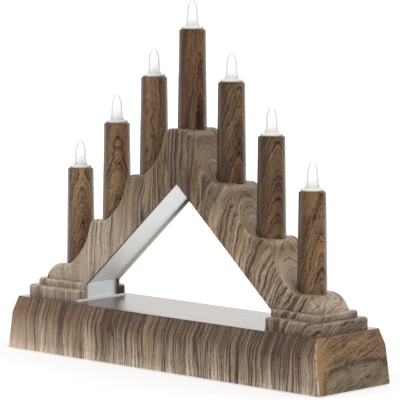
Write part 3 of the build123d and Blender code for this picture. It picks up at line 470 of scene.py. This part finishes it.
def makeCandleWood(number):
    look = dict(candleLook)
    turn, climb, seed, tone = candleFigures[number - 1]
    low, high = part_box("candle_%d" % number)
    middle = (low[0] + high[0]) / 2 * mm
    material, tree, shader = newMaterial("candleWood%d" % number)
    spot, x, y, z = objectPlace(tree)
    bearing = calc(tree, "ARCTAN2", y, calc(tree, "SUBTRACT", x, middle))

    def angleFrom(degrees):
        return calc(tree, "WRAP", calc(tree, "SUBTRACT", bearing, math.radians(degrees)), math.pi, -math.pi)

    # pointed arches, stacked up the side that the figure is turned to
    reach = calc(tree, "POWER", calc(tree, "MULTIPLY", angleFrom(turn), look["unroll"]), 2.0)
    far = calc(tree, "SQRT", calc(tree, "ADD", reach, look["blunt"]))
    across = calc(tree, "MULTIPLY_ADD", z, climb, far)
    scale, size = look["wander"]
    across = calc(tree, "MULTIPLY_ADD", noise(tree, spot, scale, 3.0, 0.6), size, across)
    grain = useGroup(tree, woodPrint, Across=across, Along=z, Ring=look["ring"], Depth=1.15, Sharp=4.5, Bands=0.6,
                     Breaks=0.35, Seed=seed, Pale=look["pale"], Mid=look["mid"], Dark=look["dark"])
    # painted shade: a broad dark band runs down one side
    scale, size = look["shadedSideWander"]
    shadedSide = calc(tree, "ABSOLUTE", angleFrom(look["shadedSide"]))
    shadedSide = calc(tree, "MULTIPLY_ADD", noise(tree, spot, scale, 2.0), size, shadedSide)
    grain = meet(tree, spread(tree, shadedSide, *look["shadedSideReach"]), grain, look["dark"])
    strokes = dashes(tree, across, z, look["dashWide"], look["dashLong"], seed, look["dashShare"])
    grain = meet(tree, strokes, grain, look["dark"])
    # the gloss is strongest along both edges
    slant = tree.nodes.new("ShaderNodeLayerWeight").outputs["Facing"]
    look["coat"] = spread(tree, slant, *look["edgeCoat"])
    # the tone is multiplied in as painted light and shade over the whole print
    lacquer(tree, shader, grain, look, tone + (1.0,))
    return material


mouldLook = {"cloud": 40.0, "cloudTurn": (0.35, 0.65), "grit": 2200.0, "gritTurn": (0.3, 0.7), "gritPress": 0.0001,
             "roughPlay": 0.06, "coatRough": 0.1, "seedStep": 0.37}


def makeMouldTone():
    # cloudy tone and fine texture of moulded plastic or metal
    look = mouldLook
    tree, source, result = newGroup(
        "mouldTone", [("Shade", "Color", None), ("Second", "Color", None), ("Seed", "Float", 0.0)],
        [("Color", "Color"), ("Grit", "Float")])
    pin = source.outputs
    place = tree.nodes.new("ShaderNodeTexCoord")
    shift = tree.nodes.new("ShaderNodeVectorMath")
    shift.operation = "ADD"
    tree.links.new(place.outputs["Object"], shift.inputs[0])
    tree.links.new(join(tree, pin["Seed"], 0.0, 0.0), shift.inputs[1])
    cloud = spread(tree, noise(tree, shift.outputs[0], look["cloud"], 3.0), *look["cloudTurn"])
    tree.links.new(tint(tree, cloud, pin["Shade"], pin["Second"]), result.inputs["Color"])
    tree.links.new(noise(tree, shift.outputs[0], look["grit"], 1.0), result.inputs["Grit"])
    return tree


mouldTone = makeMouldTone()


def gritRough(tree, shader, tone, low, high):
    tree.links.new(spread(tree, tone.outputs["Grit"], *mouldLook["gritTurn"], low, high), shader.inputs["Roughness"])


def makePlain(name, shade, second, rough, bump=0.1, metal=0.0, coat=0.0):
    look = mouldLook
    material, tree, shader = newMaterial(name)
    tone = useGroup(tree, mouldTone, Shade=shade, Second=second, Seed=len(bpy.data.materials) * look["seedStep"])
    tree.links.new(tone.outputs["Color"], shader.inputs["Base Color"])
    gritRough(tree, shader, tone, rough - look["roughPlay"], rough + look["roughPlay"])
    relief = tree.nodes.new("ShaderNodeBump")
    relief.inputs["Strength"].default_value = bump
    relief.inputs["Distance"].default_value = look["gritPress"]
    tree.links.new(tone.outputs["Grit"], relief.inputs["Height"])
    tree.links.new(relief.outputs["Normal"], shader.inputs["Normal"])
    shader.inputs["Metallic"].default_value = metal
    shader.inputs["Coat Weight"].default_value = coat
    shader.inputs["Coat Roughness"].default_value = look["coatRough"]
    return material


clearLook = {"shade": (0.86, 0.87, 0.86, 1.0), "edge": (0.4, 0.42, 0.43, 1.0), "rough": 0.25, "roughPlay": 0.05,
             "ior": 1.3, "blend": 0.4, "rimTurn": (0.15, 0.55), "body": 0.22, "rim": 0.55,
             "foot": 0.45, "fadeFrom": 2.0, "fade": 9.0, "glow": 0.16}


def makeClear(number):
    # thin milky plastic, denser at its foot, with painted shade greying it where it is seen edge on, and a painted
    # glow of its own colour that keeps it pale
    look = clearLook
    material, tree, shader = newMaterial("flameClear%d" % number)
    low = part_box("flame_cap_%d" % number)[0][2] * mm
    z = objectPlace(tree)[3]
    edge = tree.nodes.new("ShaderNodeLayerWeight")
    edge.inputs["Blend"].default_value = look["blend"]
    rim = spread(tree, edge.outputs["Facing"], *look["rimTurn"])
    tone = useGroup(tree, mouldTone, Shade=look["shade"], Second=look["shade"])
    color = tint(tree, rim, tone.outputs["Color"], look["edge"])
    tree.links.new(color, shader.inputs["Base Color"])
    tree.links.new(color, shader.inputs["Emission Color"])
    # painted glow: the cap gives light though it is no lamp
    shader.inputs["Emission Strength"].default_value = look["glow"]
    gritRough(tree, shader, tone, look["rough"], look["rough"] + look["roughPlay"])
    clear = spread(tree, rim, 0.0, 1.0, look["body"], look["rim"])
    start = low + look["fadeFrom"]
    milky = spread(tree, z, start, start + look["fade"], look["foot"], 0.0)
    tree.links.new(calc(tree, "MAXIMUM", clear, milky), shader.inputs["Alpha"])
    shader.inputs["IOR"].default_value = look["ior"]
    return material


cellLook = {"wrap": rgb(58, 92, 84), "second": rgb(50, 81, 74), "band": rgb(190, 190, 186),
            "metal": rgb(196, 194, 188), "nub": 1.3, "bareFrom": 0.2, "bareTo": 0.4, "bandFrom": 5.0, "bandTo": 9.0,
            "bandEdge": 0.15, "rough": 0.28, "roughPlay": 0.05, "seedStep": 1.7}


def makeCell(number):
    # printed wrap with one pale band near the raised end, bare metal at both ends
    look = cellLook
    material, tree, shader = newMaterial("cellWrap%d" % number)
    low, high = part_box("battery_cell_%d" % number)
    raised = 1 if number % 2 else -1
    tip = (high if raised > 0 else low)[0] * mm
    length = (high[0] - low[0]) * mm
    x = objectPlace(tree)[1]
    depth = calc(tree, "MULTIPLY", calc(tree, "SUBTRACT", tip, x), raised)
    ends = calc(tree, "MAXIMUM",
                spread(tree, depth, look["nub"] + look["bareFrom"], look["nub"] + look["bareTo"], 1.0, 0.0),
                spread(tree, depth, length - look["bareTo"], length - look["bareFrom"]))
    band = calc(tree, "MULTIPLY", spread(tree, depth, look["bandFrom"], look["bandFrom"] + look["bandEdge"]),
                spread(tree, depth, look["bandTo"], look["bandTo"] + look["bandEdge"], 1.0, 0.0))
    tone = useGroup(tree, mouldTone, Shade=look["wrap"], Second=look["second"], Seed=look["seedStep"] * number)
    color = tint(tree, ends, tint(tree, band, tone.outputs["Color"], look["band"]), look["metal"])
    tree.links.new(color, shader.inputs["Base Color"])
    tree.links.new(ends, shader.inputs["Metallic"])
    gritRough(tree, shader, tone, look["rough"] - look["roughPlay"], look["rough"] + look["roughPlay"])
    return material


finishes = {
    "arch_wood": makeArchWood(),
    "base_wood": makeBaseWood(),
    "liner_white": makePlain("linerWhite", rgb(240, 243, 243), rgb(234, 238, 238), 0.35, 0.06, coat=0.2),
    "collar_milky": makePlain("collarMilky", rgb(238, 238, 232), rgb(232, 232, 226), 0.3, 0.05, coat=0.3),
    "led_resin": makePlain("ledResin", rgb(246, 246, 243), rgb(242, 242, 237), 0.3, 0.02),
    "lead_sleeve": makePlain("leadSleeve", rgb(225, 224, 220), rgb(214, 213, 208), 0.45),
    "cover_brown": makePlain("coverBrown", rgb(88, 68, 54), rgb(80, 62, 49), 0.5, 0.3),
    "nickel": makePlain("nickel", rgb(196, 192, 184), rgb(186, 182, 174), 0.25, 0.08, metal=1.0),
    "screw_steel": makePlain("screwSteel", rgb(170, 170, 168), rgb(158, 158, 156), 0.3, 0.1, metal=1.0),
    "switch_black": makePlain("switchBlack", rgb(34, 34, 35), rgb(28, 28, 29), 0.4, 0.15),
    "board_green": makePlain("boardGreen", rgb(36, 84, 54), rgb(30, 74, 47), 0.35, 0.1, coat=0.3),
    "chip_black": makePlain("chipBlack", rgb(40, 40, 42), rgb(33, 33, 35), 0.5, 0.2),
    "pad_rubber": makePlain("padRubber", rgb(42, 41, 40), rgb(36, 35, 34), 0.7, 0.4),
}
slots = {part["node"]: part["material_slot"] for part in frame["record"]["subparts"]}
for name, piece in nodes.items():
    slot = slots[name]
    if slot == "candle_wood":
        finish = makeCandleWood(int(name.split("_")[1]))
    elif slot == "flame_clear":
        finish = makeClear(int(name.split("_")[2]))
    elif slot == "cell_wrap":
        finish = makeCell(int(name.split("_")[2]))
    else:
        finish = finishes[slot]
    piece.data.materials.clear()
    piece.data.materials.append(finish)
print("finishes placed:", len(bpy.data.materials), "materials")


# small raised marks under the base and inside the door

def placePiece(name, mesh, body, slot):
    mesh.materials.append(finishes[slot])
    piece = bpy.data.objects.new(name, mesh)
    bpy.context.collection.objects.link(piece)
    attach(piece, body)


def roundCorners(flat, corners, offset, segments):
    bmesh.ops.bevel(flat, geom=corners, offset=offset, offset_type="OFFSET", segments=segments, profile=0.5,
                    affect="VERTICES", material=-1)


def flatOutline(flat, length, width, corner, line=None):
    # rounded rectangle, or with a line width a rounded frame
    made = bmesh.ops.create_grid(flat, x_segments=1, y_segments=1, size=0.5)["verts"]
    bmesh.ops.scale(flat, vec=(length, width, 1.0), verts=made)
    roundCorners(flat, made, corner, 5)
    if line is not None:
        inner = list(flat.faces)
        bmesh.ops.inset_region(flat, faces=inner, thickness=line, use_boundary=True, use_even_offset=True)
        bmesh.ops.delete(flat, geom=inner, context="FACES_ONLY")


rimAngle = 1.0
rimShare = 0.4


def raiseMark(flat, height):
    # lifts the flat faces and softens their rims
    grown = bmesh.ops.extrude_face_region(flat, geom=list(flat.faces))["geom"]
    lifted = [part for part in grown if isinstance(part, bmesh.types.BMVert)]
    bmesh.ops.translate(flat, verts=lifted, vec=(0.0, 0.0, height))
    bmesh.ops.recalc_face_normals(flat, faces=list(flat.faces))
    top = set(lifted)
    rims = [edge for edge in flat.edges if top.issuperset(edge.verts) and edge.calc_face_angle(0.0) > rimAngle]
    bmesh.ops.bevel(flat, geom=rims, offset=abs(height) * rimShare, offset_type="OFFSET", segments=2, profile=0.5,
                    affect="EDGES", material=-1)


def addMark(whole, flat, height, place):
    raiseMark(flat, height)
    bmesh.ops.translate(flat, verts=list(flat.verts), vec=place)
    part = bpy.data.meshes.new("part")
    flat.to_mesh(part)
    flat.free()
    whole.from_mesh(part)
    bpy.data.meshes.remove(part)


def finishMarks(name, whole, body, slot):
    mesh = bpy.data.meshes.new(name)
    whole.to_mesh(mesh)
    whole.free()
    placePiece(name, mesh, body, slot)


doorMarks = {"height": 0.0005, "arrowReach": 0.0036, "arrowHalf": 0.0042, "arrowRound": 0.0007, "arrowBack": 0.031,
             "inside": 0.00016, "cellLength": 0.040, "cellWidth": 0.0125, "corner": 0.0018, "line": 0.0007,
             "nub": (0.0022, 0.0048), "nubCorner": 0.0005, "sign": 0.0042, "signBar": 0.0011, "signInset": 0.0055,
             "barRound": 0.3, "doorThick": 0.0016, "sink": 0.00004}


def makeDoorArrow():
    look = doorMarks
    low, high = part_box("battery_door")
    flat = bmesh.new()
    tip = flat.verts.new((look["arrowReach"], 0.0, 0.0))
    left = flat.verts.new((-look["arrowReach"], look["arrowHalf"], 0.0))
    right = flat.verts.new((-look["arrowReach"], -look["arrowHalf"], 0.0))
    flat.faces.new((tip, left, right))
    roundCorners(flat, list(flat.verts), look["arrowRound"], 4)
    whole = bmesh.new()
    addMark(whole, flat, -look["height"], (high[0] - look["arrowBack"], 0.0, low[2] + look["sink"]))
    finishMarks("doorArrow", whole, "door", "cover_brown")


def makeDoorSigns():
    # how the cells lie, shown inside the door
    look = doorMarks
    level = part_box("battery_door")[0][2] + look["doorThick"] - look["sink"]
    whole = bmesh.new()
    for number in (1, 2, 3):
        low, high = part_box("battery_cell_%d" % number)
        raised = 1 if number % 2 else -1
        middle = Vector(((low[0] + high[0]) / 2, (low[1] + high[1]) / 2, level))
        end = raised * look["cellLength"] / 2
        body = bmesh.new()
        flatOutline(body, look["cellLength"], look["cellWidth"], look["corner"], look["line"])
        addMark(whole, body, look["inside"], middle)
        nub = bmesh.new()
        flatOutline(nub, look["nub"][0], look["nub"][1], look["nubCorner"])
        addMark(whole, nub, look["inside"], middle + Vector((end + raised * look["nub"][0] / 2, 0.0, 0.0)))
        # plus sign: a grid without its corners
        plus = bmesh.new()
        bmesh.ops.create_grid(plus, x_segments=3, y_segments=3, size=look["sign"] / 2)
        bar, half = look["signBar"] / 2, look["sign"] / 6
        for vert in plus.verts:
            vert.co = [math.copysign(bar, part) if abs(abs(part) - half) < 1e-6 else part for part in vert.co]
        spare = [face for face in plus.faces if min(abs(part) for part in face.calc_center_median()[:2]) > bar]
        bmesh.ops.delete(plus, geom=spare, context="FACES")
        addMark(whole, plus, look["inside"], middle + Vector((end - raised * look["signInset"], 0.0, 0.0)))
        minus = bmesh.new()
        flatOutline(minus, look["signBar"], look["sign"], look["signBar"] * look["barRound"])
        addMark(whole, minus, look["inside"], middle - Vector((end - raised * look["signInset"], 0.0, 0.0)))
    finishMarks("doorSigns", whole, "door", "cover_brown")


switchMarks = {"height": 0.00025, "length": 0.0132, "width": 0.0078, "corner": 0.0022, "line": 0.0012,
               "letters": 0.0034, "lettersOut": 0.0112, "lettersHeight": 0.00012, "sink": 0.00004}


def makeSwitchFrame():
    look = switchMarks
    low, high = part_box("switch_body")
    middle = ((low[0] + high[0]) / 2, (low[1] + high[1]) / 2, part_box("base_cover")[0][2] + look["sink"])
    flat = bmesh.new()
    flatOutline(flat, look["length"], look["width"], look["corner"], look["line"])
    whole = bmesh.new()
    addMark(whole, flat, -look["height"], middle)
    finishMarks("switchFrame", whole, "arch", "cover_brown")
    return middle


def makeSwitchWord(name, word, place):
    look = switchMarks
    letters = bpy.data.curves.new(name, "FONT")
    letters.body = word
    letters.size = look["letters"]
    letters.align_x = "CENTER"
    letters.align_y = "CENTER"
    letters.extrude = look["lettersHeight"]
    maker = bpy.data.objects.new(name + "Maker", letters)
    mesh = bpy.data.meshes.new_from_object(maker)
    mesh.name = name
    bpy.data.objects.remove(maker)
    # read from below, with the front edge uppermost
    shaped = bmesh.new()
    shaped.from_mesh(mesh)
    bmesh.ops.remove_doubles(shaped, verts=list(shaped.verts), dist=1e-6)
    turned = Matrix.Translation(place) @ Matrix.Rotation(math.pi, 4, "X")
    bmesh.ops.transform(shaped, matrix=turned, verts=list(shaped.verts))
    bmesh.ops.recalc_face_normals(shaped, faces=list(shaped.faces))
    shaped.to_mesh(mesh)
    shaped.free()
    mesh.materials.clear()
    placePiece(name, mesh, "arch", "liner_white")


makeDoorArrow()
makeDoorSigns()
switchMiddle = makeSwitchFrame()
for word, side in (("OFF", -1), ("ON", 1)):
    place = (switchMiddle[0] + side * switchMarks["lettersOut"], switchMiddle[1], switchMiddle[2])
    makeSwitchWord("switchWord" + word.title(), word, place)
print("marks added")


stage = {"floorSize": 12.0, "world": 0.6, "floorPaint": 0.9, "floorShow": 0.6, "floorGlow": (0.25, 1.2, 0.58, 1.0),
         "tableGlow": (0.1, 0.6, 0.7, 0.0)}


def sceneRays(tree):
    # rays that look at the backdrop, straight, in a mirror or through glass
    path = tree.nodes.new("ShaderNodeLightPath")
    seen = calc(tree, "MAXIMUM", path.outputs["Is Camera Ray"], path.outputs["Is Glossy Ray"])
    return calc(tree, "MAXIMUM", seen, path.outputs["Is Transmission Ray"])


def makeFloor():
    bpy.ops.mesh.primitive_plane_add(size=stage["floorSize"])
    floor = bpy.context.object
    floor.name = "floor"
    material = bpy.data.materials.new("floorPaper")
    material.use_nodes = True
    tree = material.node_tree
    tree.nodes.clear()
    out = tree.nodes.new("ShaderNodeOutputMaterial")
    paint = tree.nodes.new("ShaderNodeBsdfDiffuse")
    paint.inputs["Color"].default_value = (stage["floorPaint"],) * 3 + (1,)
    shown = tree.nodes.new("ShaderNodeBsdfDiffuse")
    shown.inputs["Color"].default_value = (stage["floorShow"],) * 3 + (1,)
    # white paper that keeps the shadow near the object
    place = tree.nodes.new("ShaderNodeTexCoord")
    apart = tree.nodes.new("ShaderNodeVectorMath")
    apart.operation = "LENGTH"
    tree.links.new(place.outputs["Object"], apart.inputs[0])
    glow = tree.nodes.new("ShaderNodeEmission")
    tree.links.new(spread(tree, apart.outputs["Value"], *stage["floorGlow"]), glow.inputs["Strength"])
    both = tree.nodes.new("ShaderNodeAddShader")
    tree.links.new(shown.outputs[0], both.inputs[0])
    tree.links.new(glow.outputs[0], both.inputs[1])
    # lit table round the object
    table = tree.nodes.new("ShaderNodeEmission")
    tree.links.new(spread(tree, apart.outputs["Value"], *stage["tableGlow"]), table.inputs["Strength"])
    lit = tree.nodes.new("ShaderNodeAddShader")
    tree.links.new(paint.outputs[0], lit.inputs[0])
    tree.links.new(table.outputs[0], lit.inputs[1])
    choose = tree.nodes.new("ShaderNodeMixShader")
    tree.links.new(sceneRays(tree), choose.inputs[0])
    tree.links.new(lit.outputs[0], choose.inputs[1])
    tree.links.new(both.outputs[0], choose.inputs[2])
    # seen from below the floor is clear, so that the underside shows
    side = tree.nodes.new("ShaderNodeNewGeometry")
    hole = tree.nodes.new("ShaderNodeBsdfTransparent")
    below = tree.nodes.new("ShaderNodeMixShader")
    tree.links.new(side.outputs["Backfacing"], below.inputs[0])
    tree.links.new(choose.outputs[0], below.inputs[1])
    tree.links.new(hole.outputs[0], below.inputs[2])
    tree.links.new(below.outputs[0], out.inputs["Surface"])
    floor.data.materials.append(material)


def makeWorld():
    world = bpy.data.worlds.new("studio")
    bpy.context.scene.world = world
    world.use_nodes = True
    tree = world.node_tree
    back = tree.nodes["Background"]
    back.inputs["Color"].default_value = (1, 1, 1, 1)
    tree.links.new(spread(tree, sceneRays(tree), 0.0, 1.0, stage["world"], 1.0), back.inputs["Strength"])


# name, place, aim, size and power
lamps = [("keyLamp", (-1.0, -1.7, 0.9), (0, 0, 0.09), 1.2, 9.0),
         ("fillLamp", (3.4, -0.4, 1.0), (0, 0, 0.09), 2.4, 20.0),
         ("lowLamp", (2.0, -2.6, 0.2), (-0.03, 0, 0.08), 1.2, 20.0),
         ("rimLamp", (0.7, 1.2, 1.0), (0, 0, 0.09), 0.8, 4.0),
         ("backLamp", (-1.6, 1.7, 0.5), (0, 0, 0.06), 1.2, 2.3)]


def makeLamp(name, place, aim, size, power):
    lamp = bpy.data.objects.new(name, bpy.data.lights.new(name, "AREA"))
    lamp.data.shape = "DISK"
    lamp.data.size = size
    lamp.data.energy = power
    lamp.location = place
    lamp.rotation_euler = (Vector(aim) - Vector(place)).to_track_quat("-Z", "Y").to_euler()
    bpy.context.collection.objects.link(lamp)


def makeCamera():
    view = {"azimuth": 43.74, "elevation": 6.47, "distance": 1.7334, "aim": (0.00582, 0.0, 0.09455), "lens": 278.8,
            "sensor": 36.0, "near": 0.01}
    turn, lift = math.radians(view["azimuth"]), math.radians(view["elevation"])
    back = Vector((math.sin(turn) * math.cos(lift), -math.cos(turn) * math.cos(lift), math.sin(lift)))
    camera = bpy.data.objects.new("camera", bpy.data.cameras.new("camera"))
    camera.data.lens = view["lens"]
    camera.data.sensor_width = view["sensor"]
    camera.data.clip_start = view["near"]
    camera.location = Vector(view["aim"]) + back * view["distance"]
    camera.rotation_euler = (-back).to_track_quat("-Z", "Y").to_euler()
    bpy.context.collection.objects.link(camera)
    bpy.context.scene.camera = camera


makeFloor()
makeWorld()
for lamp in lamps:
    makeLamp(*lamp)
makeCamera()
bpy.context.scene.view_settings.view_transform = "Standard"
print("stage ready")
